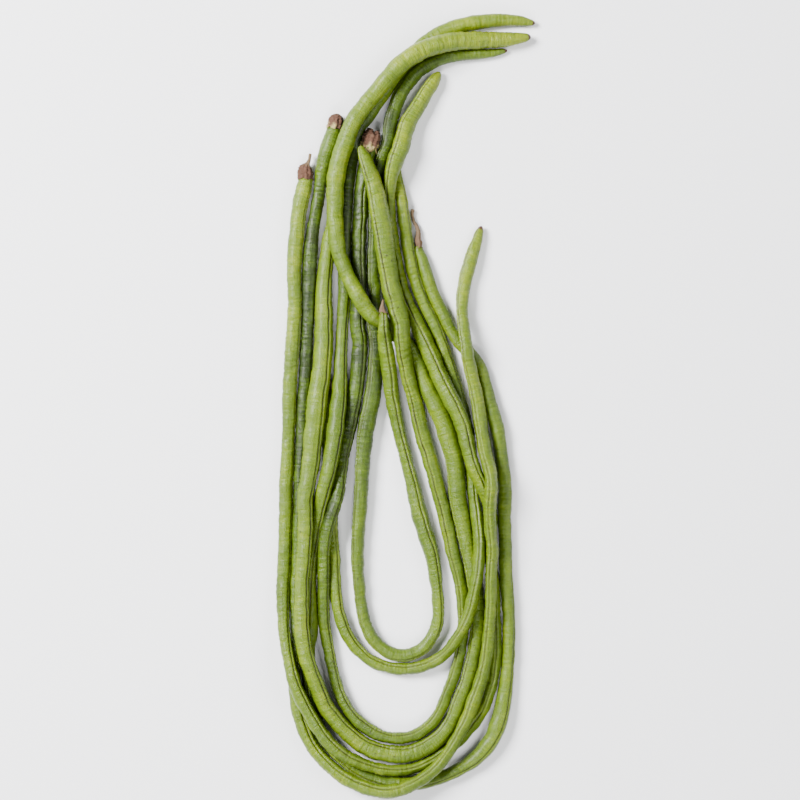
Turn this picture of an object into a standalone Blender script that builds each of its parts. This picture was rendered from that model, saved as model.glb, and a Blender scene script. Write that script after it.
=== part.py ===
"""A bunch of yardlong beans: seven fresh pods, folded once into a long loop and laid flat.

Metres, +Z up. The bunch lies on z = 0 with its fold towards -Y and its loose ends towards +Y, and
the origin is under the middle of its bounding box. Each pod grew as one piece and is one solid. The
dried calyx at its stem end, with what is left of the stalk, is a solid of its own.
"""

from dataclasses import dataclass

import bpy
import numpy as np

BUNCH = "yardlong_bean_bunch"
MM = 0.001

# How the pods are laid, in millimetres
STEP = 2.5  # between the places of a pod that are moved as it is laid
LAYER_HEIGHT = 8.5  # between the heights at which two layers start
CLEARANCE = 0.6  # between the skins of pods that touch
OWN_REACH = 50.0  # a pod touches itself only where it comes back after at least this much of it
MOVES = 360  # small moves in which the pods sink and push each other apart
SINK = 0.08  # how far a pod sinks in one move
HOLD = 0.05  # share of its way back to its route that a pod goes in one move
SHOULDER = 5.0  # how far along a pod a push is spread, because a pod is stiff
LAST_PUSHES = 60  # at the end, with no more sinking
JOINT_GAP = 0.3  # between a pod and its calyx
BASE_MIDDLE = -1.42, -0.23, -0.14  # under the middle of the settled bunch, and moved to the origin

# How the tubes are cut
POD_RING = 6.5  # millimetres between the rings of a pod
CALYX_RING = 1.8  # millimetres between the rings of a calyx
END_RING = 0.6  # millimetres from each end of a tube to a ring that squares the end to the curve
TUBE_ROUNDNESS = 2  # bevel resolution, which gives a tube of eight sides

# Principled colour, roughness
POD_GREEN = (0.27, 0.42, 0.075, 1.0), 0.42
CALYX_BROWN = (0.21, 0.115, 0.06, 1.0), 0.85


@dataclass
class Pod:
    """One pod as it lies, from the stem end to the blossom tip.

    A point is (x, y, width, layer): where the centre line runs and how wide it is there, in
    millimetres, and its layer, which is higher than that of whatever it passes over.
    """

    name: str
    calyx: list
    body: list


PODS = [
    Pod(
        "bean_1",
        calyx=[
            (-52, 134, 2, 1), (-53, 129, 2.5, 1), (-54.5, 125.5, 7, 1), (-54.5, 122, 8, 1),
        ],
        body=[
            (-54.5, 120, 7, 1), (-55.5, 113.5, 9, 1), (-57, 107.5, 8.5, 1), (-58.5, 96.5, 8, 1),
            (-60, 82, 8, 1), (-60.5, 63.5, 7.5, 1), (-60, 43.5, 7.5, 1), (-60.5, 26, 8, 1),
            (-61.5, 2.5, 7.5, 1), (-62.5, -19, 6.5, 1), (-64, -50.5, 7, 1), (-64.5, -77, 7, 1),
            (-65, -101, 7, 1), (-64.5, -119.5, 6.5, 1), (-62.5, -135.5, 6.5, 1),
            (-58.5, -151.5, 7.5, 1), (-52, -164.5, 7.5, 1), (-43.5, -178, 7.5, 1), (-31, -189, 7, 1),
            (-16, -194, 6.5, 1), (-3.5, -195, 6.5, 1), (8.5, -191.5, 6.5, 0.6), (21, -183.5, 6.5, 0),
            (31.5, -173, 6.5, 0), (40, -161.5, 6.5, 0), (45.5, -147, 6.5, 0), (47.5, -130, 6.5, 0),
            (46.5, -106.5, 6.5, 0), (42.5, -80, 6.5, 0.5), (38, -50.5, 7, 1), (32.5, -27, 7.5, 1),
            (28, -8, 8.5, 1), (19, 12, 9, 1), (11, 33, 9, 1), (6.5, 45, 8.5, 1), (1.5, 56, 7.5, 1),
            (-2, 66, 7, 1), (-4.5, 77.5, 6.5, 1), (-7.5, 90, 7, 1), (-10, 105.5, 7, 1),
            (-10.5, 119, 7.5, 1), (-9.5, 131, 9.5, 1), (-6, 141, 9.5, 1), (-1, 151, 9, 1),
            (4, 158, 8.5, 1), (8.5, 165.5, 8, 1), (13, 172, 7, 1), (16.5, 177, 4, 1),
        ],
    ),
    Pod(
        "bean_2",
        calyx=[
            (-37.2, 155, 4.5, 0), (-37.5, 153.5, 6.5, 0), (-38, 151, 7.5, 0), (-38.5, 148.6, 8, 0),
        ],
        body=[
            (-39, 146.3, 8, 0), (-40.4, 140.5, 9.5, 0), (-43, 134, 9, 0), (-46, 123, 7.5, 0),
            (-48.5, 108.5, 6.5, 0), (-50.5, 95, 6.5, 0), (-52, 82, 7.5, 0), (-53, 55.5, 6.5, 0),
            (-54, 29, 6.5, 0), (-56, 2.5, 6.5, 0), (-57, -19, 6.5, 0), (-58.5, -50.5, 6.5, 0),
            (-59.5, -82.5, 6.5, 0), (-59.5, -114, 6.5, 0), (-58.5, -140.5, 6.5, 0),
            (-55.5, -161.5, 7, 0), (-49.5, -178.5, 7.5, 0.3), (-39.5, -190.5, 7.5, 0.5),
            (-27, -199, 7.5, 0.7), (-11, -203.5, 7.5, 1), (2, -200.5, 7, 1.4), (13.5, -193, 7, 1.9),
            (22, -183, 6.5, 2), (28, -172.5, 7, 2), (32.5, -161.5, 7.5, 2), (38, -146, 7, 1.7),
            (41.5, -130, 6.5, 1.4), (43.5, -103.5, 6.5, 1), (42, -74.5, 6.5, 1), (40, -45.5, 7, 1),
            (38, -19, 7, 1), (36, 2.5, 7, 1), (31.5, 23, 6.5, 1), (29, 39.5, 6, 1),
            (28.5, 54, 6.5, 0.7), (30, 66, 7, 0.3), (33, 77.5, 7, 0), (36.5, 88, 5.5, 0),
            (39, 95, 2.5, 0),
        ],
    ),
    Pod(
        "bean_3",
        calyx=[
            (-39, 110.5, 2, 0), (-39, 107, 2.5, 0), (-40, 104, 5, 0),
        ],
        body=[
            (-40, 102, 5.5, 0), (-41, 93.5, 7, 0), (-43, 82, 7.5, 0.4), (-44.5, 68.5, 8, 1),
            (-45.5, 52.5, 9, 1), (-46.5, 34, 10, 1), (-47.5, 15.5, 10.5, 1), (-49, -3, 10.5, 1),
            (-51, -19, 10, 1), (-53.5, -50.5, 8.5, 1.5), (-55.5, -82.5, 8, 2), (-56, -109, 8, 2),
            (-55, -130, 8.5, 2), (-50, -147, 8.5, 2), (-41.5, -163.5, 9, 2), (-31, -174.5, 9.5, 2),
            (-19.5, -182.5, 9.5, 2), (-7, -186, 9.5, 2), (3.5, -184.5, 9, 1.8), (13, -179.5, 8.5, 1.4),
            (20.5, -172, 8, 1), (25.5, -161, 7.5, 0.8), (30.5, -147.5, 7.5, 0.7),
            (34.5, -130, 7.5, 0.7), (36.5, -106.5, 7.5, 0.8), (34.5, -80, 8, 0.8), (29.5, -48, 9, 0.8),
            (22.5, -19, 10, 0.8), (14, 2.5, 9.5, 0.8), (8.5, 13.5, 8, 0.8), (3.5, 26, 7, 0.8),
            (-3.5, 34.5, 7, 0.8), (-13, 42, 7.5, 0.9), (-21.5, 49, 8, 1.2), (-27, 57.5, 8.5, 1.7),
            (-31.5, 66.5, 7.5, 2), (-35.5, 76, 8, 2), (-38.5, 87, 8.5, 2), (-39.5, 100.5, 8.5, 2),
            (-38.5, 116.5, 9.5, 2), (-36, 130.5, 9.5, 2), (-31, 143, 9.5, 2), (-24.5, 155.5, 9, 2),
            (-15.5, 167, 9, 2), (-6.5, 177.5, 9.5, 2), (3.5, 186, 10, 2), (16.5, 191.5, 10, 2),
            (32.5, 193.5, 9.5, 2), (49.5, 194, 8.5, 2), (59.5, 195, 6.5, 2), (65, 196, 3, 2),
        ],
    ),
    Pod(
        "bean_4",
        calyx=[
            (0.5, 104, 3.5, 0.6), (-0.5, 99.5, 3, 0.6), (2, 94, 3.5, 0.5), (2.5, 89.5, 4, 0.3),
            (1.5, 85, 5, 0.1),
        ],
        body=[
            (2, 82, 4, 0), (4, 75.5, 6, 0), (7, 66, 6.5, 0), (11, 56.5, 6.5, 0), (16.5, 47, 6.5, 0),
            (23, 37.5, 6.5, 0), (30.5, 29, 6.5, 0), (37, 21.5, 6.5, 0), (40.5, 12, 6.5, 0),
            (43, 1.5, 7, 0), (46.5, -10.5, 7.5, 0), (49, -24, 7, 0), (51, -45.5, 7, 0.2),
            (51, -72, 6.5, 0.2), (51, -101, 6.5, 0.3), (51.5, -127.5, 6.5, 0.5), (51, -151.5, 6, 0.5),
            (48.5, -168.5, 6.5, 0.5), (42, -181.5, 6.5, 0.5), (32.5, -190.5, 7, 0.4),
            (19.5, -197.5, 7, 0.2), (3.5, -201.5, 7, 0), (-12.5, -200.5, 7, 0), (-27.5, -195.5, 7, 0),
            (-39.5, -186, 7, 0), (-48.5, -173.5, 7, 0), (-54, -159.5, 7, 0), (-55.5, -140.5, 7, 0),
            (-54.5, -114, 7, 0), (-50.5, -85, 7, 0), (-45.5, -58.5, 7.5, 0), (-40.5, -34.5, 8.5, 0.5),
            (-38, -14.5, 9.5, 1), (-37, 2.5, 9, 1), (-36, 18.5, 7.5, 1), (-35, 37, 6.5, 1),
            (-33.5, 54, 6.5, 0.8), (-32, 70, 6.5, 0.6), (-31.5, 87, 6.5, 0.5), (-32, 102, 7, 0.5),
            (-31.5, 116.5, 7, 0.5), (-29, 129.5, 7, 0.5), (-25, 141, 7, 0.5), (-20, 152.5, 7, 0.8),
            (-13.5, 163, 7, 1), (-6, 174, 7, 1), (2, 184, 7, 1), (11.5, 192.5, 7, 1),
            (23, 199, 7.5, 1), (37, 203, 7.5, 1), (51, 204.5, 6.5, 1), (62.5, 204, 4.5, 1),
            (67.5, 203, 2.5, 1),
        ],
    ),
    Pod(
        "bean_5",
        calyx=[
            (-17.5, 148, 6, 1), (-18.5, 144.5, 9, 1), (-20, 139.5, 9.5, 1),
        ],
        body=[
            (-21, 135.5, 8, 1), (-21.5, 128, 8, 1), (-23.5, 113.5, 8, 1), (-25, 98, 8, 1),
            (-26.5, 82, 8, 0.8), (-26, 63.5, 8, 0.3), (-25, 45, 8.5, 0), (-24.5, 29, 8.5, 0),
            (-26, 15.5, 8.5, 0), (-30, 1.5, 8, 0), (-34, -14.5, 7.5, 0), (-39.5, -37.5, 7, 0.5),
            (-44.5, -64, 6.5, 0.8), (-46.5, -90.5, 6.5, 1), (-45.5, -114, 6.5, 1), (-42, -133, 6, 1),
            (-37.5, -151.5, 6.5, 1), (-31, -165, 6.5, 1), (-22, -174, 7, 1), (-11, -178.5, 6.5, 1),
            (0.5, -178, 6.5, 0.8), (10.5, -172.5, 6.5, 0.4), (18, -163, 6.5, 0.2),
            (23, -150.5, 6.5, 0.2), (27.5, -135.5, 6.5, 0.2), (29.5, -114, 6.5, 0.3),
            (27.5, -90.5, 7, 0.5), (21.5, -64, 7.5, 1), (14, -37.5, 8, 1.6), (8, -17, 8.5, 2),
            (3, 2.5, 8, 2), (-1, 18.5, 8, 2), (-4, 33, 8.5, 2), (-6.5, 50, 10, 2), (-9.5, 66, 10.5, 2),
            (-11.5, 82, 10.5, 2), (-14, 98, 10.5, 2), (-16, 110, 9.5, 2), (-19, 120, 8.5, 2),
            (-22.5, 129, 7.5, 2), (-24.5, 134.5, 5, 2), (-25.5, 137, 2.5, 2),
        ],
    ),
    Pod(
        "bean_6",
        calyx=[
            (-14, 60.5, 1.5, 2), (-14.5, 55, 1.5, 2), (-15, 51.5, 4, 2), (-15, 49.5, 5, 2),
        ],
        body=[
            (-15, 47.5, 4, 2), (-14.5, 42, 6, 2), (-13, 34, 8, 2), (-11.5, 22.5, 8.5, 1.8),
            (-10, 10.5, 8, 1.4), (-7.5, -3, 7.5, 1), (-4.5, -16, 7, 0.6), (1, -37.5, 7, 0.2),
            (6.5, -58.5, 6.5, 0), (12, -80, 6.5, 0), (15.5, -101, 6.5, 0), (15, -118, 6.5, 0),
            (8.5, -129, 6.5, 0), (-2, -133.5, 6.5, 0), (-13, -130.5, 6.5, 0), (-21.5, -120.5, 6.5, 0),
            (-25.5, -103.5, 6.5, 0), (-27, -77, 7, 0), (-25.5, -50.5, 7.5, 0), (-24, -24, 8.5, 0),
            (-22, -8, 9, 0), (-19.5, 5, 9, 0), (-18.5, 21, 8, 0), (-17, 37, 7.5, 0),
            (-17, 52.5, 7.5, 0), (-19, 68.5, 7.5, 0), (-20, 84.5, 7, 0), (-19, 103, 6.5, 0),
            (-16, 121.5, 6.5, 0), (-13, 137.5, 7, 0), (-10, 151, 7.5, 0), (-6.5, 162.5, 7.5, 0),
            (-1.5, 171.5, 7.5, 0), (6.5, 178.5, 7, 0), (16.5, 183.5, 6.5, 0), (28.5, 186, 6, 0),
            (40.5, 187, 5, 0), (48.5, 188, 3.5, 0), (52.5, 189, 2.5, 0),
        ],
    ),
    Pod(
        "bean_7",
        calyx=[
            (-42, 14.5, 2, 0), (-42, 11.5, 3.5, 0), (-42, 10, 4, 0),
        ],
        body=[
            (-42, 8.5, 4, 0), (-42.5, 2.5, 5.5, 0), (-42.5, -13.5, 6, 0), (-42.5, -37.5, 6, 0),
            (-42, -64, 6.5, 0), (-41, -90.5, 6.5, 0), (-37.5, -111.5, 6.5, 0),
            (-30.5, -126.5, 6.5, 0.3), (-20, -136, 6.5, 0.3), (-7, -140.5, 6.5, 0.3),
            (5, -140, 6.5, 0.3), (16, -135.5, 6.5, 0.3), (25.5, -125.5, 6.5, 0.6),
            (32.5, -109.5, 6.5, 1.2), (36.5, -87.5, 6.5, 1.2), (37.5, -61, 6.5, 0.4),
            (35, -34.5, 6.5, 0.1), (31, -13.5, 6.5, 0), (25, 5, 6.5, 0), (19.5, 21, 6.5, 0),
            (15, 34, 6.5, 0), (10.5, 46, 6.5, 0.4), (6, 57, 6.5, 0.5), (2, 71.5, 6.5, 0.5),
            (-1, 84.5, 6.5, 0.5), (-4, 98, 6.5, 0.5), (-7, 108.5, 6, 0.5), (-8.5, 119, 5, 0.4),
            (-8.5, 128, 3, 0.4), (-8, 133, 2, 0.4),
        ],
    ),
]


def spline(knots, values, places):
    """A smooth curve through values at knots, the natural cubic one, read at places."""
    count = len(knots)
    span = np.diff(knots)
    slope = np.diff(values, axis=0) / span[:, None]
    system = np.eye(count)
    bend = np.zeros_like(values)
    for i in range(1, count - 1):
        system[i, i - 1 : i + 2] = span[i - 1], 2 * (span[i - 1] + span[i]), span[i]
        bend[i] = 6 * (slope[i] - slope[i - 1])
    bend = np.linalg.solve(system, bend)
    i = np.clip(np.searchsorted(knots, places, side="right") - 1, 0, count - 2)
    width = span[i][:, None]
    before = (knots[i + 1] - places)[:, None] / width
    after = 1 - before
    straight = before * values[i] + after * values[i + 1]
    curved = (before**3 - before) * bend[i] + (after**3 - after) * bend[i + 1]
    return straight + curved * width**2 / 6


class Line:
    """A pod's centre line with its calyx: places STEP apart, from the stalk to the tip."""

    def __init__(self, pod):
        points = np.array(pod.calyx + pod.body, float)
        knots = np.append(0, np.cumsum(np.linalg.norm(np.diff(points[:, :2], axis=0), axis=1)))
        self.name = pod.name
        self.joint = (knots[len(pod.calyx) - 1] + knots[len(pod.calyx)]) / 2
        self.length = knots[-1]
        self.along = np.linspace(0, self.length, round(self.length / STEP) + 1)
        self.radius = np.interp(self.along, knots, points[:, 2]) / 2
        layer = np.interp(self.along, knots, points[:, 3])
        route = spline(knots, points[:, :2], self.along)
        self.home = np.column_stack([route, self.radius + LAYER_HEIGHT * layer])
        self.place = self.home.copy()
        apart = self.along[:, None] - self.along
        self.spread = np.exp(-(apart**2) / (2 * SHOULDER**2))
        self.spread /= self.spread.sum(axis=1)[:, None]

    def stiffen(self):
        """Spreads the line's moves along it, so that it bends in long easy curves."""
        self.place[:, :2] = self.home[:, :2] + self.spread @ (self.place - self.home)[:, :2]
        self.place[:, 2] = self.spread @ self.place[:, 2]

    def tube(self, start, end, ring):
        """Points (x, y, z) and radii about ring apart, from start to end along the line."""
        places = np.linspace(start, end, max(2, round((end - start) / ring) + 1))
        places = np.sort(np.append(places, [start + END_RING, end - END_RING]))
        read = spline(self.along, np.column_stack([self.place, self.radius]), places)
        return read[:, :3] - BASE_MIDDLE, read[:, 3]


class Pile:
    """All the pods' places in one array, in which each line's places are a view."""

    def __init__(self, lines):
        self.lines = lines
        self.place = np.concatenate([line.place for line in lines])
        self.radius = np.concatenate([line.radius for line in lines])
        self.along = np.concatenate([line.along for line in lines])
        self.owner = np.repeat(np.arange(len(lines)), [len(line.along) for line in lines])
        ends = np.cumsum([len(line.along) for line in lines])
        for line, end in zip(lines, ends):
            line.place = self.place[end - len(line.along) : end]

    def near_pairs(self):
        """The pairs of places whose pods touch or may come to touch."""
        apart = np.linalg.norm(self.place[:, None] - self.place, axis=2)
        close = apart < self.radius[:, None] + self.radius + STEP
        other = self.owner[:, None] != self.owner
        other |= np.abs(self.along[:, None] - self.along) > OWN_REACH
        return np.nonzero(np.triu(close & other))

    def push_apart(self, first, second):
        """Moves each pair that is too close apart, and whatever is under the table up."""
        way = self.place[first] - self.place[second]
        apart = np.linalg.norm(way, axis=1)
        short = self.radius[first] + self.radius[second] + CLEARANCE - apart
        touching = short > 0
        first, second = first[touching], second[touching]
        push = (way * (short / (2 * apart))[:, None])[touching]
        both = np.concatenate([first, second])
        count = 1 + np.bincount(both, minlength=len(self.place))
        for axis, moves in enumerate(np.concatenate([push, -push]).T):
            total = np.bincount(both, weights=moves, minlength=len(self.place))
            self.place[:, axis] += 2 * total / count
        self.place[:, 2] = np.maximum(self.place[:, 2], self.radius)

    def settle(self):
        """Lets the pods sink onto the table and onto one another."""
        for move in range(MOVES):
            if move % 10 == 0:
                pairs = self.near_pairs()
            self.place[:, 2] -= SINK
            for line in self.lines:
                line.place[:, :2] += HOLD * (line.home - line.place)[:, :2]
                line.stiffen()
            self.push_apart(*pairs)
            self.push_apart(*pairs)
        for _ in range(LAST_PUSHES):
            self.push_apart(*pairs)


def material(name, finish):
    """A Principled material of one colour and roughness."""
    colour, roughness = finish
    made = bpy.data.materials.new(name)
    made.use_nodes = True
    shader = made.node_tree.nodes["Principled BSDF"]
    shader.inputs["Base Color"].default_value = colour
    shader.inputs["Roughness"].default_value = roughness
    shader.inputs["Metallic"].default_value = 0.0
    made.diffuse_color = colour
    return made


def add_tube(name, points, radii, finish, collection):
    """A closed round tube through points, in millimetres, as a curve object."""
    curve = bpy.data.curves.new(name, "CURVE")
    curve.dimensions = "3D"
    curve.twist_mode = "Z_UP"
    curve.bevel_depth = MM
    curve.bevel_resolution = TUBE_ROUNDNESS
    curve.use_fill_caps = True
    line = curve.splines.new("POLY")
    line.points.add(len(points) - 1)
    for point, place, radius in zip(line.points, points, radii):
        point.co = (*(place * MM), 1.0)
        point.radius = radius
    line.use_smooth = True
    curve.materials.append(material(name, finish))
    collection.objects.link(bpy.data.objects.new(name, curve))


def main():
    for existing in list(bpy.data.objects):
        bpy.data.objects.remove(existing)
    collection = bpy.data.collections.new(BUNCH)
    bpy.context.scene.collection.children.link(collection)
    lines = [Line(pod) for pod in PODS]
    Pile(lines).settle()
    for line in lines:
        calyx = line.tube(0, line.joint - JOINT_GAP / 2, CALYX_RING)
        pod = line.tube(line.joint + JOINT_GAP / 2, line.length, POD_RING)
        add_tube(line.name + "_calyx", *calyx, CALYX_BROWN, collection)
        add_tube(line.name, *pod, POD_GREEN, collection)


main()
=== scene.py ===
"""A bunch of yardlong beans, dressed: skins with seams and creases, and ragged dried calyxes.

Metres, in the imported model's frame. Each pod is swept along the centre line of its own solid, which
is read back from that solid's rings, so the bunch lies exactly as the model lays it. Lengths inside
the classes are in millimetres.
"""

import logging
import math
from collections.abc import Mapping, Sequence
from dataclasses import dataclass, field
from enum import Enum

import bpy
import numpy as np
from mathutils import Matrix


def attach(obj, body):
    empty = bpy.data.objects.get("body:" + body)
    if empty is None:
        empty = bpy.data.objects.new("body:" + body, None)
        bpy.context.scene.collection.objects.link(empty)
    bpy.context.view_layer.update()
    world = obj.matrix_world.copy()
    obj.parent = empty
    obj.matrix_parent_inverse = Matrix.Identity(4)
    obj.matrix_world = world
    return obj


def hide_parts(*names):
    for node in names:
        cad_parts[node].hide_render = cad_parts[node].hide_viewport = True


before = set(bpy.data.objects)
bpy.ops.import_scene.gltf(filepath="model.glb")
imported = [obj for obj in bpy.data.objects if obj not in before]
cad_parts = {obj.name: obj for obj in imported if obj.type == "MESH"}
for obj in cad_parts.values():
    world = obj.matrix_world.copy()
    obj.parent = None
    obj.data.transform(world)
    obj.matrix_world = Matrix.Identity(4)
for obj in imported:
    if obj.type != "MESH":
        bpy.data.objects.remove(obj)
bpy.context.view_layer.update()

log = logging.getLogger("bunch")

MM = 0.001
SOLID_SIDES = 8  # round each ring of a packed tube
RIM_FOLD = 0.5  # cosine between the faces at an edge, below which it is a rim and not along a tube
TABLE_GAP = 0.05  # millimetres between the table and the flat that a piece rests on
POD_OFFSET = 1000.0  # millimetres of pattern between two pods, so that no two are marked alike
CALYX_OFFSET = 40.0  # and between two calyxes
Colour = tuple[float, float, float, float]


# ---- Shader maths and nodes


class Field:
    """A number or colour that runs over a surface, so that shader sums are written in Python."""

    def __init__(self, graph: "Graph", socket: bpy.types.NodeSocket) -> None:
        """Wraps a socket.

        Args:
            graph: The graph that the socket's node is in.
            socket: The output that carries the value.
        """
        self.graph = graph
        self.socket = socket

    def _math(self, operation: str, first: "Field | float", second: "Field | float") -> "Field":
        """Adds one Math node.

        Args:
            operation: The Math node's operation.
            first: Its first value.
            second: Its second value.

        Returns:
            The node's result.
        """
        return self.graph.node("Math", {"operation": operation}, {0: first, 1: second})

    def __add__(self, other: "Field | float") -> "Field":
        """Adds."""
        return self._math("ADD", self, other)

    __radd__ = __add__

    def __sub__(self, other: "Field | float") -> "Field":
        """Takes other away."""
        return self._math("SUBTRACT", self, other)

    def __rsub__(self, other: float) -> "Field":
        """Is taken away from a number."""
        return self._math("SUBTRACT", other, self)

    def __mul__(self, other: "Field | float") -> "Field":
        """Multiplies."""
        return self._math("MULTIPLY", self, other)

    __rmul__ = __mul__


class Graph:
    """The node tree of one material, built up by calls."""

    def __init__(self, name: str) -> None:
        """Makes an empty material.

        Args:
            name: The material's name.
        """
        self.material = bpy.data.materials.new(name)
        self.material.use_nodes = True
        self.tree = self.material.node_tree
        self.tree.nodes.clear()

    def node(
        self,
        kind: str,
        settings: Mapping[str, object] | None = None,
        sockets: Mapping[int | str, object] | None = None,
        output: int | str = 0,
    ) -> Field:
        """Adds a node.

        Args:
            kind: The node's type, without its leading ShaderNode.
            settings: The node's own properties, and "stops" for a ramp's places and colours.
            sockets: The value or the field for each input that isn't left as it is.
            output: The output to go on with.

        Returns:
            That output.
        """
        made = self.tree.nodes.new("ShaderNode" + kind)
        for key, value in (settings or {}).items():
            if key == "stops":
                self._set_stops(made.color_ramp.elements, value)
            else:
                setattr(made, key, value)
        for key, value in (sockets or {}).items():
            if isinstance(value, Field):
                self.tree.links.new(value.socket, made.inputs[key])
            else:
                made.inputs[key].default_value = value
        return Field(self, made.outputs[output] if made.outputs else None)

    @staticmethod
    def _set_stops(elements: bpy.types.ColorRampElements, stops: Sequence[tuple[float, Colour]]) -> None:
        """Sets a ramp's stops, of which there are two or more.

        Args:
            elements: The ramp's own elements.
            stops: The place and colour of each stop, from left to right.
        """
        for place, _ in stops[2:]:
            elements.new(place)
        for element, (place, colour) in zip(elements, stops):
            element.position = place
            element.color = colour

    def attribute(self, name: str) -> Field:
        """Reads a number that the mesh holds at each of its points."""
        return self.node("Attribute", {"attribute_name": name}, output="Fac")

    def grown(self, stretch: tuple[float, float, float]) -> Field:
        """Reads the place on the straightened piece, in millimetres, times a stretch."""
        place = self.node("Attribute", {"attribute_name": "grown"}, output="Vector")
        return self.node("VectorMath", {"operation": "MULTIPLY"}, {0: place, 1: stretch})

    def noise(self, stretch: tuple[float, float, float], detail: float = 2.0) -> Field:
        """Adds cloudy noise.

        Args:
            stretch: Clouds to the millimetre, along the piece and both ways across it.
            detail: How many finer layers it has.

        Returns:
            The noise, from 0 to 1 and mostly near 0.5.
        """
        return self.node("TexNoise", {}, {"Vector": self.grown(stretch), "Scale": 1.0, "Detail": detail})

    def step(self, value: Field, low: float, high: float) -> Field:
        """Rises smoothly from 0 where value is low to 1 where it is high, or falls if low > high."""
        if low > high:
            return 1 - self.step(value, high, low)
        places = {"Value": value, "From Min": low, "From Max": high}
        return self.node("MapRange", {"interpolation_type": "SMOOTHSTEP"}, places)

    def blend(self, factor: Field | float, first: Field | Colour, second: Field | Colour) -> Field:
        """Mixes two colours, from first where factor is 0 to second where it is 1."""
        return self.node("Mix", {"data_type": "RGBA"}, {0: factor, 6: first, 7: second}, 2)

    def bump(self, height: Field, distance: float) -> Field:
        """Turns a height into a normal, where distance is the height of 1 in millimetres."""
        return self.node("Bump", {}, {"Height": height, "Distance": distance * MM, "Strength": 1.0})

    def shade(self, sockets: Mapping[str, object]) -> bpy.types.Material:
        """Ends the graph in a Principled shader.

        Args:
            sockets: The shader's values and fields.

        Returns:
            The finished material.
        """
        shader = self.node("BsdfPrincipled", {}, sockets)
        self.node("OutputMaterial", {}, {"Surface": shader})
        return self.material


# ---- Finishes


@dataclass(frozen=True)
class PodSkin:
    """The satin skin of a fresh pod: mottled green, finely creased, with a dark line in its seam."""

    yellow: Colour = (0.150, 0.190, 0.005, 1.0)
    fresh: Colour = (0.080, 0.125, 0.003, 1.0)
    leafy: Colour = (0.042, 0.076, 0.002, 1.0)
    # deep green, used mostly as painted shade on stretches that lie under other pods
    deep_and_shade: Colour = (0.012, 0.022, 0.002, 1.0)
    pale: Colour = (0.190, 0.240, 0.030, 1.0)
    seam: Colour = (0.012, 0.008, 0.002, 1.0)
    lip: Colour = (0.125, 0.170, 0.010, 1.0)
    fleck: Colour = (0.02, 0.012, 0.004, 1.0)
    stain: Colour = (0.045, 0.016, 0.008, 1.0)
    seam_width: float = 0.52  # millimetres
    lip_width: float = 1.5
    patches: float = 0.9  # how far broad patches change the tone
    streaks: float = 0.8  # how far streaks across the pod do
    fibres: float = 0.4  # how far streaks along it do
    relief: float = 1.3  # millimetres
    roughness: float = 0.26

    def material(self) -> bpy.types.Material:
        """Makes the material."""
        graph = Graph("pod_skin")
        cloud = graph.noise((0.05, 0.11, 0.11), 3)
        crease = graph.noise((0.75, 0.13, 0.13), 5)
        fibre = graph.noise((0.07, 1.2, 1.2), 3)
        pore = graph.noise((1.7, 1.7, 1.7), 2)
        colour = self._colour(graph, cloud, crease, fibre, pore)
        height = 0.6 * crease + 0.15 * fibre + 0.25 * pore
        return graph.shade(
            {
                "Base Color": colour,
                "Roughness": self.roughness + 0.25 * cloud - 0.12 * pore,
                "Normal": graph.bump(height, self.relief),
                "Specular IOR Level": 0.22,
                "Coat Weight": 0.06,
                "Coat Roughness": 0.2,
                "Subsurface Weight": 0.08,
                "Subsurface Radius": (0.5, 1.0, 0.25),
                "Subsurface Scale": 0.0015,
            }
        )

    def _colour(self, graph: Graph, cloud: Field, crease: Field, fibre: Field, pore: Field) -> Field:
        """Works out the skin's colour.

        Args:
            graph: The material's graph.
            cloud: Broad patches.
            crease: Streaks across the pod.
            fibre: Streaks along the pod.
            pore: Fine grain.

        Returns:
            The colour.
        """
        stops = ((0.0, self.yellow), (0.33, self.fresh), (0.68, self.leafy), (1.0, self.deep_and_shade))
        # The per-point tone is partly painted shade: stretches under other pods run to the deep end of the
        # ramp, and their pale marks fade there.
        tone_and_shade = graph.attribute("tone_and_shade")
        young_and_lit = 1.1 - tone_and_shade
        age_and_shade = tone_and_shade + self.patches * (cloud - 0.5) + self.streaks * (crease - 0.5)
        age_and_shade = age_and_shade + self.fibres * (fibre - 0.5)
        colour = graph.node("ValToRGB", {"stops": stops}, {0: age_and_shade})
        colour = graph.blend(0.3 * young_and_lit * graph.step(crease, 0.54, 0.72), colour, self.pale)
        colour = graph.blend(0.4 * young_and_lit * graph.step(pore, 0.62, 0.74), colour, self.pale)
        flecks = graph.step(graph.noise((0.45, 0.6, 0.6), 1), 0.73, 0.77)
        colour = graph.blend(0.85 * flecks, colour, self.fleck)
        apart = graph.attribute("seam")
        lip = 0.4 * young_and_lit * graph.step(apart, self.lip_width, self.seam_width)
        colour = graph.blend(lip, colour, self.lip)
        line = graph.step(apart, self.seam_width, 0.4 * self.seam_width) * graph.attribute("line")
        colour = graph.blend(line, colour, self.seam)
        stained = graph.step(graph.attribute("stain") + 0.5 * (pore - 0.5), 0.25, 0.75)
        return graph.blend(stained, colour, self.stain)


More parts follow.
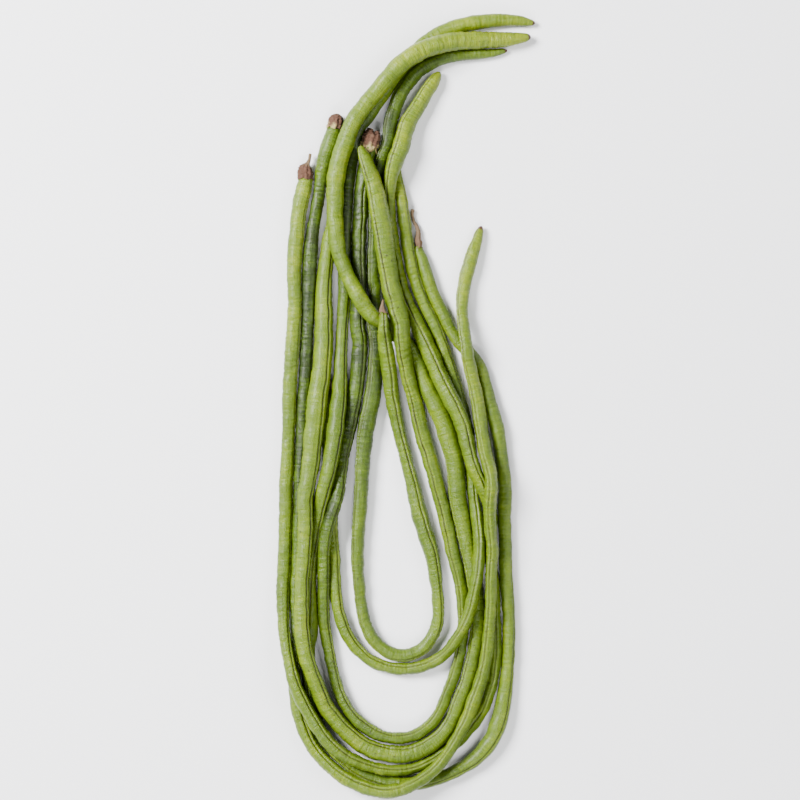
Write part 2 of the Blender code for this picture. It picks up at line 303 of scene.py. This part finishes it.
@dataclass(frozen=True)
class Husk:
    """The dry, fibrous tissue of a calyx and its stalk: reddish brown, cream at its torn edges."""

    dark: Colour = (0.016, 0.007, 0.004, 1.0)
    brown: Colour = (0.068, 0.026, 0.011, 1.0)
    tan: Colour = (0.125, 0.085, 0.040, 1.0)
    cream: Colour = (0.36, 0.29, 0.11, 1.0)
    relief: float = 0.8  # millimetres
    roughness: float = 0.85

    def material(self) -> bpy.types.Material:
        """Makes the material."""
        graph = Graph("husk")
        fibre = graph.noise((0.25, 1.6, 1.6), 4)
        blotch = graph.noise((0.5, 0.35, 0.35), 3)
        stops = ((0.28, self.dark), (0.48, self.brown), (0.62, self.brown), (0.8, self.tan))
        colour = graph.node("ValToRGB", {"stops": stops}, {0: 0.5 * fibre + 0.5 * blotch + 0.05})
        torn = graph.step(graph.attribute("rim") + 0.9 * (blotch - 0.5), 0.55, 0.95)
        colour = graph.blend(0.8 * torn, colour, self.cream)
        bare = graph.attribute("stalk") * (0.35 + 0.9 * fibre)
        colour = graph.blend(bare, colour, self.tan)
        return graph.shade(
            {
                "Base Color": colour,
                "Roughness": self.roughness - 0.2 * (fibre - 0.5),
                "Normal": graph.bump(0.7 * fibre + 0.3 * blotch, self.relief),
            }
        )


@dataclass(frozen=True)
class Tabletop:
    """A plain pale matt surface."""

    colour: Colour = (0.80, 0.80, 0.815, 1.0)
    roughness: float = 0.75

    def material(self) -> bpy.types.Material:
        """Makes the material."""
        graph = Graph("tabletop")
        grain = graph.node("TexNoise", {}, {"Scale": 60.0, "Detail": 2.0})
        return graph.shade({"Base Color": self.colour, "Roughness": self.roughness + 0.1 * grain})


# ---- Lines and swept meshes


@dataclass
class Stations:
    """Places along a line, in millimetres, each with its own three directions."""

    centre: np.ndarray
    tangent: np.ndarray
    up: np.ndarray
    side: np.ndarray
    radius: np.ndarray

    def ring(self, angle: np.ndarray, radius: np.ndarray, forward: np.ndarray | float = 0.0) -> np.ndarray:
        """Finds points round the places.

        Args:
            angle: From straight up towards the side, for each place and point, in radians.
            radius: How far out each point is.
            forward: How far along the line each point is shifted.

        Returns:
            The points, by place, point and axis. Those that would sink into the table rest on it.
        """
        out = np.cos(angle)[..., None] * self.up[:, None] + np.sin(angle)[..., None] * self.side[:, None]
        shift = np.broadcast_to(forward, radius.shape)[..., None] * self.tangent[:, None]
        points = self.centre[:, None] + out * radius[..., None] + shift
        points[..., 2] = np.maximum(points[..., 2], TABLE_GAP)
        return points


class Line:
    """The centre line of a calyx and its pod, from the stalk's end to the pod's tip."""

    def __init__(self, pod: str, calyx: str) -> None:
        """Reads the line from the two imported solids.

        Args:
            pod: The pod's node.
            calyx: The calyx's node.
        """
        stem, stem_radius = self._rings(calyx, pod)
        body, body_radius = self._rings(pod, calyx)
        self.points = np.concatenate([stem[::-1], body])
        self.radii = np.concatenate([stem_radius[::-1], body_radius])
        self.knots = np.append(0, np.cumsum(np.linalg.norm(np.diff(self.points, axis=0), axis=1)))
        self.joint = float(self.knots[len(stem)])
        self.length = float(self.knots[-1])

    @staticmethod
    def _corners(node: str) -> tuple[np.ndarray, np.ndarray, np.ndarray]:
        """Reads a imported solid, which is all triangles.

        Args:
            node: The node's name.

        Returns:
            Its separate corners in millimetres, its edges between them, and which corners are on the
            sharp rims of its two flat ends.
        """
        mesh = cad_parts[node].data
        points = np.empty(3 * len(mesh.vertices))
        mesh.vertices.foreach_get("co", points)
        facing = np.empty(3 * len(mesh.polygons))
        mesh.polygons.foreach_get("normal", facing)
        triangles = np.array([face.vertices[:] for face in mesh.polygons])
        corners, index = np.unique(np.round(points.reshape(-1, 3) / MM, 3), axis=0, return_inverse=True)
        triangles = index.reshape(-1)[triangles]
        edges = np.sort(np.concatenate([triangles, np.roll(triangles, 1, axis=1)]).reshape(2, -1).T)
        pairs = np.lexsort(edges.T).reshape(-1, 2)
        fold = np.prod(facing.reshape(-1, 3)[pairs // 3], axis=1).sum(axis=1)
        rim = np.unique(edges[pairs[fold < RIM_FOLD, 0]])
        return corners, edges[pairs[:, 0]], rim

    @classmethod
    def _rings(cls, node: str, neighbour: str) -> tuple[np.ndarray, np.ndarray]:
        """Finds the middles and radii of a tube's rings, going away from its neighbour.

        Where a solid lacks a corner, the count of rings runs ahead on that side. Until it is ahead all
        round, some rings later, they take in a corner or two of the next and come out too wide.

        Args:
            node: The tube.
            neighbour: The tube that it meets end to end.

        Returns:
            The middles and the radii.
        """
        points, edges, rim = cls._corners(node)
        other = cls._corners(neighbour)[0]
        gap = np.linalg.norm(points[rim, None] - other, axis=2).min(axis=1)
        rank = np.full(len(points), -1)
        rank[rim[np.argsort(gap)[:SOLID_SIDES]]] = 0
        both = np.concatenate([edges, edges[:, ::-1]])
        while (rank < 0).any():
            near = both[(rank[both[:, 0]] == rank.max()) & (rank[both[:, 1]] < 0), 1]
            rank[near] = rank.max() + 1
        rings = [points[rank == step] for step in range(rank.max() + 1)]
        middles = np.array([ring.mean(axis=0) for ring in rings])
        radii = [np.linalg.norm(ring - middle, axis=1).mean() for ring, middle in zip(rings, middles)]
        return middles, np.array(radii)

    def read(self, places: np.ndarray) -> Stations:
        """Reads the line.

        Args:
            places: Distances from the stalk's end.

        Returns:
            The stations there.
        """
        slope = np.gradient(self.points, self.knots, axis=0)
        i = np.clip(np.searchsorted(self.knots, places, side="right") - 1, 0, len(self.knots) - 2)
        span = (self.knots[i + 1] - self.knots[i])[:, None]
        t = (places - self.knots[i])[:, None] / span
        start, end = self.points[i], self.points[i + 1]
        leave, arrive = slope[i] * span, slope[i + 1] * span
        centre = start + t * leave + t**2 * (3 * (end - start) - 2 * leave - arrive)
        centre += t**3 * (2 * (start - end) + leave + arrive)
        tangent = slope[i] * (1 - t) + slope[i + 1] * t
        tangent /= np.linalg.norm(tangent, axis=1)[:, None]
        up = np.array([0.0, 0.0, 1.0]) - tangent[:, 2:] * tangent
        up /= np.linalg.norm(up, axis=1)[:, None]
        radius = np.interp(places, self.knots, self.radii)
        return Stations(centre, tangent, up, np.cross(tangent, up), radius)


@dataclass
class Sweep:
    """A closed mesh swept through rings, with what its finish needs to know at each point."""

    rings: np.ndarray
    grown: np.ndarray
    marks: dict[str, np.ndarray]

    def build(self, name: str, finish: bpy.types.Material) -> bpy.types.Object:
        """Makes the mesh as an object.

        Args:
            name: The object's name.
            finish: Its material.

        Returns:
            The object, linked to the scene.
        """
        rings, sides = self.rings.shape[:2]
        mesh = bpy.data.meshes.new(name)
        mesh.from_pydata(self._with_ends(self.rings) * MM, [], self._faces(rings, sides))
        mesh.polygons.foreach_set("use_smooth", np.ones(len(mesh.polygons), bool))
        place = mesh.attributes.new("grown", "FLOAT_VECTOR", "POINT")
        place.data.foreach_set("vector", self._with_ends(self.grown).ravel())
        for key, values in self.marks.items():
            spread = np.broadcast_to(values, (rings, sides))[..., None]
            mark = mesh.attributes.new(key, "FLOAT", "POINT")
            mark.data.foreach_set("value", self._with_ends(spread).ravel())
        mesh.materials.append(finish)
        made = bpy.data.objects.new(name, mesh)
        bpy.context.scene.collection.objects.link(made)
        return made

    @staticmethod
    def _with_ends(values: np.ndarray) -> np.ndarray:
        """Lists the values at all points, with a middle for the first and the last ring at the end."""
        ends = np.array([values[0].mean(axis=0), values[-1].mean(axis=0)])
        return np.concatenate([values.reshape(-1, values.shape[-1]), ends])

    @staticmethod
    def _faces(rings: int, sides: int) -> list[list[int]]:
        """Lists the faces: four-sided between rings, and a fan of triangles at each end."""
        here = np.arange((rings - 1) * sides)
        turn = here - here % sides + (here + 1) % sides
        quads = np.column_stack([here, turn, turn + sides, here + sides])
        first = np.arange(sides)
        after = (first + 1) % sides
        last = (rings - 1) * sides
        start = np.column_stack([np.full(sides, rings * sides), after, first])
        end = np.column_stack([np.full(sides, rings * sides + 1), first + last, after + last])
        return [*quads.tolist(), *start.tolist(), *end.tolist()]


def wander(places: np.ndarray, pitch: float, rng: np.random.Generator) -> np.ndarray:
    """Drifts smoothly between -1 and 1.

    Args:
        places: Where it is read, all from 0 up.
        pitch: How far apart its turns are.
        rng: Where its values come from.

    Returns:
        Its value at each place.
    """
    values = rng.uniform(-1, 1, int(places.max() / pitch) + 2)
    i = (places / pitch).astype(int)
    t = places / pitch - i
    t = t * t * (3 - 2 * t)
    return values[i] * (1 - t) + values[i + 1] * t


# ---- The bunch


class Tip(Enum):
    """How a pod ends."""

    BEAK = "drawn out into a small dry point"
    ROUND = "blunt and closed"
    HOLLOW = "blunt, with a small dark hole"


@dataclass
class Calyx:
    """What is left of the flower at a pod's stem end: a ragged cup, and the stalk that it hung by."""

    lobes: int = 5
    reach: float = 1.6  # how far the longest lobe goes over the pod's shoulder
    flare: float = 0.5  # how far the lobes stand off the pod
    cream: float = 0.3  # how much of the edge is torn pale
    faded: float = 1.5  # how far from the edge it is pale
    crown: float = 0.0  # over which the far end rounds off, where no stalk is left
    torn: float = 0.5  # how far the far end is torn back
    thin: float = 0.3  # how much thinner the stalk has dried than its solid
    lost: float = 0.0  # how much of the stalk has broken off
    seed: int = 1
    sides: int = 40
    step: float = 0.35  # between rings
    wall: float = 0.25
    inset: float = 0.3  # from the solid's far end to the first ring
    hem: float = 0.3  # how far the cup goes over the shoulder between its lobes
    gap: float = 0.15  # between the pod and the cup's edge, before any flare
    stalk: float = 1.6  # the largest radius that is all stalk
    pleats: tuple[float, float] = (0.09, 0.07)  # fine and broad, as shares of the radius
    rough: float = 0.075  # how far single points stray, as a share of the radius
    mouth: float = 0.55  # share of its radius that the far end keeps
    lining: float = 0.75  # share of the pod's radius at which the cup's inside ends, in the pod

    def build(self, name: str, line: Line, finish: bpy.types.Material) -> bpy.types.Object:
        """Makes the calyx.

        Args:
            name: The calyx's node.
            line: The line of its pod.
            finish: The husk.

        Returns:
            The object.
        """
        rng = np.random.default_rng(self.seed)
        angle = np.linspace(0, 2 * math.pi, self.sides, endpoint=False)
        start = self.inset + self.lost
        places = np.linspace(start, line.joint, round((line.joint - start) / self.step))
        lobe = self._lobes(angle, rng)
        reach = self.hem + self.reach * lobe
        edge = 0.5 * self.reach
        outer = line.read(np.append(places, [line.joint + edge] * 2))
        cup = np.clip((outer.radius - self.stalk) / self.stalk, 0, 1)[:, None]
        fine, broad = self.pleats
        pleats = fine * np.cos(2 * self.lobes * angle + 1) + broad * np.cos(3 * angle + 2)
        rough = rng.normal(0, self.rough, (len(outer.radius), self.sides))
        radius = outer.radius[:, None] * (1 + pleats + rough) * (1 - self.thin * (1 - cup))
        if self.crown:
            opened = np.clip(1 - np.append(places, [self.crown] * 2) / self.crown, 0, 0.97)
            radius *= np.sqrt(1 - opened**2)[:, None]
        forward = np.zeros(radius.shape)
        back = np.clip(1 - (places - self.lost) / max(2 * self.torn, 0.1), 0, 1)[:, None]
        forward[:-2] += self.torn * back * (rng.uniform(0, 1, self.sides) + lobe)
        radius[0] *= self.mouth
        shoulder = line.read(line.joint + reach).radius
        forward[-2:] = reach - edge
        radius[-2] = shoulder + self.gap + self.flare * lobe
        radius[-1] = radius[-2] - self.wall
        rings = outer.ring(np.tile(angle, (len(radius), 1)), radius, forward)
        inside = line.read(np.array([line.joint + 0.1]))
        within = np.full((1, self.sides), self.lining * inside.radius[0])
        lining = inside.ring(angle[None], within)
        rings = np.concatenate([rings, lining])
        radius = np.concatenate([radius, radius[-1:]])
        along = np.append(places, [line.joint + 1, line.joint + 1, line.joint])[:, None]
        pattern = np.broadcast_to(along + CALYX_OFFSET * self.seed, radius.shape)
        grown = [pattern, radius * np.sin(angle), radius * np.cos(angle)]
        near = np.clip(1 - (line.joint - along) / self.faded, 0, 1) * self.cream * (0.6 + lobe)
        marks = {"rim": near, "stalk": 1 - np.append(cup, 1)[:, None]}
        log.info("%s: %d rings of %d points", name, *radius.shape)
        return Sweep(rings, np.stack(grown, axis=-1), marks).build(name + "_husk", finish)

    def _lobes(self, angle: np.ndarray, rng: np.random.Generator) -> np.ndarray:
        """Works out how long the cup's edge is at each angle, from 0 to about 1."""
        torn = rng.uniform(0.55, 1.0, self.lobes)
        part = (angle / (2 * math.pi) * self.lobes + rng.uniform()) % self.lobes
        which = part.astype(int)
        hump = np.sin(math.pi * (part - which)) ** 0.8
        return torn[which] * hump * rng.uniform(0.82, 1.0, len(angle))


@dataclass
class Pod:
    """One pod, from its stem end to its blossom tip.

    A stop's first number is the share of the line's length. In seam, the others are the seam's angle
    from straight up, in degrees towards the right when facing the tip, and how dark its line is. In
    the colour stops, the other is the colour, from 0 for yellowish to 1 for deep green; the deepest
    stops are painted shade, where a stretch lies under other pods.
    """

    name: str
    seam: Sequence[tuple[float, float, float]]
    tone_and_shade: Sequence[tuple[float, float]]
    tip: Tip = Tip.BEAK
    stain: float = 1.6  # how far back from the tip it is brown
    seeds: float = 11.0  # between seeds
    plump: float = 0.2  # how far the seeds swell the pod
    creased: float = 0.38  # how deep the creases across it are
    lumpy: float = 0.16  # how far the skin swells and sinks between them
    sway: float = 0.3  # how far the pod strays from its line
    calyx: Calyx = field(default_factory=Calyx)
    seed: int = 1
    sides: int = 38
    step: float = 0.8  # between rings
    crowding: float = 0.6  # how much closer the points are at the seams than between them
    groove: float = 0.5  # how deep the seam is sunk
    groove_width: float = 0.42
    lip: float = 0.2  # how high the seam's lips stand
    lip_place: float = 1.1  # from the seam
    lip_width: float = 0.5
    ridge: float = 0.1  # how high the back stands, all along the far side from the seam
    ridge_width: float = 0.5
    uneven: float = 0.16  # how far the pod's thickness drifts
    oval: float = 0.1  # how far it is from round
    crease_pitch: tuple[float, float] = (2.8, 8.0)
    lump_pitch: tuple[float, float] = (7.0, 18.0)
    tip_length: float = 2.6  # over which the end closes
    shoulder: float = 1.6  # over which the stem end draws in

    def build(self, line: Line, finish: bpy.types.Material) -> bpy.types.Object:
        """Makes the pod.

        Args:
            line: Its line.
            finish: The skin.

        Returns:
            The object.
        """
        rng = np.random.default_rng(self.seed)
        places = self._places(line)
        share = places / line.length
        stations = line.read(places)
        turn = np.arange(self.sides) / self.sides * 2 - 1
        around = math.pi * turn - self.crowding * np.sin(2 * math.pi * turn) / 2
        stops = np.array(self.seam)
        turned = np.interp(share, stops[:, 0], stops[:, 1])
        turned += 6 * wander(places, 34.0, rng) + 3 * wander(places, 7.0, rng)
        angle = np.radians(turned)[:, None] + around
        base = stations.radius * self._ends(places, line)
        apart = np.abs(around) * base[:, None]
        free = np.clip(base / 3.0, 0, 1)[:, None]
        radius = base[:, None] + free * self._relief(places, around, apart, rng)
        stations.centre += self.sway * wander(places, 16.0, rng)[:, None] * stations.side
        rings = stations.ring(angle, radius)
        grown = [
            np.broadcast_to(places[:, None] + POD_OFFSET * self.seed, radius.shape),
            base[:, None] * np.sin(around),
            base[:, None] * np.cos(around),
        ]
        # The tone marks are partly painted shade, from the deep stops given to stretches under other pods.
        tone_and_shade = np.array(self.tone_and_shade)
        inked = 0.85 + 0.3 * wander(places, 8.0, rng)
        marks = {
            "seam": apart,
            "line": (np.interp(share, stops[:, 0], stops[:, 2]) * inked)[:, None],
            "tone_and_shade": np.interp(share, tone_and_shade[:, 0], tone_and_shade[:, 1])[:, None],
            "stain": self._stain(places, line)[:, None],
        }
        log.info("%s: %d rings of %d points", self.name, *radius.shape)
        return Sweep(rings, np.stack(grown, axis=-1), marks).build(self.name + "_skin", finish)

    def _places(self, line: Line) -> np.ndarray:
        """Lists where along the line the rings are, closer together at both ends."""
        start = line.joint + 0.05
        shoulder = start + self.shoulder
        tip = line.length - self.tip_length
        middle = np.linspace(shoulder, tip, round((tip - shoulder) / self.step) + 1)
        opening = np.linspace(start, shoulder, 6)[:-1]
        closing = tip + self.tip_length * np.sin(np.linspace(0.15, 1.5, 9))
        if self.tip is Tip.HOLLOW:
            closing = np.append(closing[:-2], line.length - np.array([0.4, 1.0, 2.0]))
        return np.concatenate([opening, middle, closing])

    def _ends(self, places: np.ndarray, line: Line) -> np.ndarray:
        """Works out what share of its radius the pod has at each place, for its rounded ends."""
        opening = np.clip((places - line.joint) / self.shoulder, 0, 1)
        closing = np.clip((places - line.length) / self.tip_length + 1, 0, 0.999)
        share = (0.8 + 0.2 * np.sin(opening * math.pi / 2)) * np.sqrt(1 - closing**2.4)
        if self.tip is Tip.HOLLOW:
            share[-3:] = 0.62, 0.5, 0.3
        return share

    def _stain(self, places: np.ndarray, line: Line) -> np.ndarray:
        """Works out how brown the pod is at each place."""
        if self.tip is Tip.HOLLOW:
            return np.where(np.arange(len(places)) < len(places) - 3, 0.0, 1.0)
        if self.tip is Tip.ROUND:
            return np.zeros(len(places))
        return np.clip(1.4 - (line.length - places) / self.stain, 0, 1)

    def _relief(
        self, places: np.ndarray, around: np.ndarray, apart: np.ndarray, rng: np.random.Generator
    ) -> np.ndarray:
        """Works out how far the skin stands off a smooth tube.

        Args:
            places: Where the rings are.
            around: The angle of each point of a ring from the seam.
            apart: The distance of each point from the seam.
            rng: Where what is uneven comes from.

        Returns:
            The height at each point of each ring.
        """
        rows = places[:, None]
        spots = np.cumsum(self.seeds * rng.uniform(0.75, 1.3, int(places.max() / self.seeds) + 4))
        swell = np.exp(-(((rows - spots) / (0.32 * self.seeds)) ** 2)).sum(axis=1)
        flank = 0.55 + 0.45 * np.sin(around) ** 2
        height = self.plump * (1.4 * swell[:, None] - 0.75) * flank
        height = height + self.uneven * wander(places, 23.0, rng)[:, None]
        height += self.oval * np.cos(2 * around + 1.2 * wander(places, 60.0, rng)[:, None])
        back = apart.max(axis=1)[:, None] - apart
        height -= self.groove * np.exp(-((apart / self.groove_width) ** 2))
        height += self.lip * np.exp(-(((apart - self.lip_place) / self.lip_width) ** 2))
        height += self.ridge * np.exp(-((back / self.ridge_width) ** 2))
        creases = 0.3 - np.abs(self._waves(rows, around, self.crease_pitch, 2, rng))
        lumps = self._waves(rows, around, self.lump_pitch, 3, rng)
        return height + self.creased * creases + self.lumpy * lumps

    @staticmethod
    def _waves(
        rows: np.ndarray,
        around: np.ndarray,
        lengths: tuple[float, float],
        lean: int,
        rng: np.random.Generator,
    ) -> np.ndarray:
        """Adds up waves that run across the pod, and come and go along it.

        Args:
            rows: Where the rings are, as a column.
            around: The angle of each point of a ring from the seam.
            lengths: The shortest and the longest wave.
            lean: How many waves one may slip by, once round the pod.
            rng: Where the waves come from.

        Returns:
            Their sum at each point of each ring, mostly between -1 and 1.
        """
        height = np.zeros((len(rows), len(around)))
        waves = 9
        for _ in range(waves):
            fade = 0.5 + 0.5 * wander(rows[:, 0], 12.0, rng)[:, None]
            slip = rng.integers(-lean, lean + 1) * around + rng.uniform(0, 2 * math.pi)
            height += fade * np.sin(2 * math.pi * rows / rng.uniform(*lengths) + slip)
        return height / math.sqrt(waves)


PODS = (
    Pod(
        "bean_1",
        seam=(
            (0, -60, 0.3), (0.25, -70, 0.2), (0.36, -35, 0.6), (0.5, -15, 0.6), (0.7, 25, 0.7),
            (0.78, 22, 1), (0.84, -8, 1), (0.9, -10, 0.6), (0.94, -34, 0.9), (1, -48, 0.7),
        ),
        tone_and_shade=((0, 0.3), (0.3, 0.42), (0.5, 0.5), (0.75, 0.45), (0.85, 0.35), (0.95, 0.3), (1, 0.2)),
        tip=Tip.ROUND,
        tip_length=4.0,
        calyx=Calyx(reach=1.8, flare=0.9, cream=0.25, seed=2),
        seed=1,
    ),
    Pod(
        "bean_2",
        seam=(
            (0, -75, 0.3), (0.3, -60, 0.3), (0.5, -25, 0.6), (0.8, -20, 0.6), (0.9, -45, 0.7),
            (1, -60, 0.9),
        ),
        # The deep stops from 0.06 to 0.26 are painted shade: this stretch lies under other pods.
        tone_and_shade=(
            (0, 0.5), (0.06, 0.75), (0.12, 0.95), (0.26, 0.95), (0.42, 0.45), (0.8, 0.35),
            (0.93, 0.28), (1, 0.15),
        ),
        stain=2.2,
        plump=0.16,
        calyx=Calyx(reach=2.4, flare=0.25, cream=0.75, faded=9.0, crown=4.0, seed=3),
        seed=2,
    ),
    Pod(
        "bean_3",
        seam=(
            (0, -38, 0.6), (0.1, -38, 1), (0.2, -45, 0.8), (0.35, -42, 0.9), (0.48, -50, 0.8),
            (0.62, -70, 0.5), (0.72, -110, 0.4), (0.88, -140, 0.4), (1, -120, 0.4),
        ),
        tone_and_shade=((0, 0.4), (0.1, 0.32), (0.35, 0.42), (0.6, 0.5), (0.72, 0.4), (0.85, 0.33), (1, 0.18)),
        calyx=Calyx(seed=4),
        seed=3,
    ),
    Pod(
        "bean_4",
        seam=(
            (0, -100, 0.4), (0.2, -80, 0.4), (0.36, -30, 0.7), (0.5, -20, 0.6), (0.64, 35, 0.9),
            (0.72, 42, 1), (0.82, 70, 0.6), (0.9, 100, 0.4), (1, 110, 0.4),
        ),
        # The deep stops from 0.75 to 0.85 are painted shade: this stretch lies under other pods.
        tone_and_shade=(
            (0, 0.5), (0.1, 0.45), (0.3, 0.5), (0.65, 0.5), (0.75, 0.6), (0.79, 0.95),
            (0.85, 0.9), (0.9, 0.4), (1, 0.15),
        ),
        creased=0.2,
        calyx=Calyx(lobes=3, reach=1.0, flare=0.2, cream=0.2, thin=0.5, seed=5),
        seed=4,
    ),
    Pod(
        "bean_5",
        seam=(
            (0, -20, 0.5), (0.15, -25, 0.5), (0.35, -45, 0.6), (0.6, -30, 0.6), (0.78, -24, 0.9),
            (0.9, -26, 1), (0.95, -34, 1), (1, -42, 0.8),
        ),
        # The deep stops from 0.04 to 0.25 are painted shade on the stretch by the stem, which lies under
        # other pods.
        tone_and_shade=(
            (0, 0.6), (0.04, 0.85), (0.25, 0.9), (0.4, 0.6), (0.75, 0.42), (0.86, 0.4),
            (0.95, 0.3), (1, 0.3),
        ),
        tip=Tip.HOLLOW,
        calyx=Calyx(reach=3.0, flare=0.9, cream=0.95, faded=5.0, torn=2.6, seed=6),
        seed=5,
    ),
    Pod(
        "bean_6",
        seam=(
            (0, -8, 0.8), (0.15, -14, 0.8), (0.35, -50, 0.5), (0.6, -40, 0.6), (0.75, -40, 0.6),
            (0.9, -50, 0.5), (1, -50, 0.5),
        ),
        # The deep stops from 0.6 to 0.88 are painted shade where this stretch lies under other pods.
        tone_and_shade=(
            (0, 0.45), (0.12, 0.5), (0.4, 0.5), (0.6, 0.75), (0.75, 0.95), (0.88, 0.8),
            (0.95, 0.6), (1, 0.5),
        ),
        calyx=Calyx(reach=1.4, flare=0.6, cream=0.15, thin=0.5, lost=4.0, seed=7),
        seed=6,
    ),
    Pod(
        "bean_7",
        seam=((0, -30, 0.5), (0.35, -35, 0.5), (0.6, 10, 0.5), (0.7, 50, 0.5), (1, 55, 0.5)),
        tone_and_shade=((0, 0.5), (0.35, 0.4), (0.65, 0.5), (0.8, 0.4), (1, 0.3)),
        calyx=Calyx(reach=0.8, flare=0.2, seed=8),
        seed=7,
    ),
)


class Bunch:
    """All the pods with their calyxes, riding on the one body that they are."""

    def __init__(self) -> None:
        """Makes the finishes that the pods share."""
        self.skin = PodSkin().material()
        self.husk = Husk().material()

    def build(self) -> None:
        """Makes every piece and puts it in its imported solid's place."""
        for pod in PODS:
            calyx_node = pod.name + "_calyx"
            line = Line(pod.name, calyx_node)
            self._stand_in(pod.build(line, self.skin), pod.name, "pod_green")
            self._stand_in(pod.calyx.build(calyx_node, line, self.husk), calyx_node, "calyx_brown")

    @staticmethod
    def _stand_in(piece: bpy.types.Object, node: str, slot: str) -> None:
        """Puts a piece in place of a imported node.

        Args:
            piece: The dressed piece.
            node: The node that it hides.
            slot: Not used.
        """
        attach(piece, "root")
        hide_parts(node)


# ---- The studio


@dataclass
class Studio:
    """A pale tabletop, soft lights and a camera that looks straight down. Sizes in metres."""

    table: float = 6.0
    lens: float = 100.0
    middle: tuple[float, float] = (-0.0031, 0.0026)
    height: float = 1.186
    sky: float = 0.16

    def build(self) -> None:
        """Makes the table, the lights and the camera."""
        self._make_table()
        self._make_light("key", (-1.15, 0.6, 1.2), 0.7, 150.0)
        self._make_light("fill", (1.5, 0.2, 1.5), 1.2, 40.0)
        self._make_light("front", (-0.2, -1.5, 1.4), 1.0, 45.0)
        self._make_sky()
        self._make_camera()
        log.info("studio: table, three lights, sky and camera")

    def _make_table(self) -> None:
        """Makes the tabletop, at the height that the bunch lies on."""
        half = self.table / 2
        corners = [(-half, -half, 0), (half, -half, 0), (half, half, 0), (-half, half, 0)]
        mesh = bpy.data.meshes.new("tabletop")
        mesh.from_pydata(corners, [], [(0, 1, 2, 3)])
        mesh.materials.append(Tabletop().material())
        table = bpy.data.objects.new("tabletop", mesh)
        bpy.context.scene.collection.objects.link(table)

    @staticmethod
    def _make_light(name: str, place: tuple[float, float, float], size: float, power: float) -> None:
        """Hangs a square light that faces the bunch.

        Args:
            name: The light's name.
            place: Where it hangs.
            size: Its side.
            power: Its power in watts.
        """
        data = bpy.data.lights.new(name, "AREA")
        data.size = size
        data.energy = power
        light = bpy.data.objects.new(name, data)
        light.location = place
        x, y, z = place
        light.rotation_euler = (math.atan2(math.hypot(x, y), z), 0, math.atan2(x, -y))
        bpy.context.scene.collection.objects.link(light)

    def _make_sky(self) -> None:
        """Fills the room with even pale light."""
        world = bpy.data.worlds.new("room")
        world.use_nodes = True
        glow = world.node_tree.nodes["Background"]
        glow.inputs["Color"].default_value = (0.95, 0.97, 1.0, 1.0)
        glow.inputs["Strength"].default_value = self.sky
        bpy.context.scene.world = world

    def _make_camera(self) -> None:
        """Sets the camera over the middle of the bunch."""
        data = bpy.data.cameras.new("camera")
        data.lens = self.lens
        data.clip_end = 100.0
        camera = bpy.data.objects.new("camera", data)
        camera.location = (*self.middle, self.height)
        bpy.context.scene.collection.objects.link(camera)
        bpy.context.scene.camera = camera


def main() -> None:
    """Builds the bunch and its studio."""
    logging.basicConfig(level=logging.INFO, format="%(name)s: %(message)s")
    Bunch().build()
    Studio().build()


if __name__ == "__main__":
    main()
